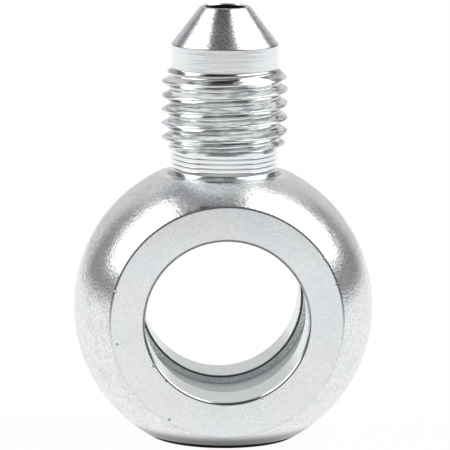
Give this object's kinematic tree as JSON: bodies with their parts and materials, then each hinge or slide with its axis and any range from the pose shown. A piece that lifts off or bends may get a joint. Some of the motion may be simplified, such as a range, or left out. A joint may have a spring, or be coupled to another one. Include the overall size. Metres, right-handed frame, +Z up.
{
  "type": "banjo fitting",
  "caption": "Steel banjo fitting: a ball-shaped eye with two milled sealing faces and a cross bore, and a threaded stem that ends in a flare cone.",
  "frame": {"origin": "where the axis of the cross bore meets the axis of the stem, at the centre of the ball", "axes": "+Z up the stem towards the flare cone, Y along the cross bore, -Y towards the picture's camera, +X to its right"},
  "size_m": [0.0226, 0.0144, 0.0328],
  "materials": {
    "zinc_plated_steel": "bright zinc plate over turned and milled steel, satin to bright"
  },
  "bodies": {
    "root": {"banjo_body": "zinc_plated_steel"}
  },
  "joints": []
}
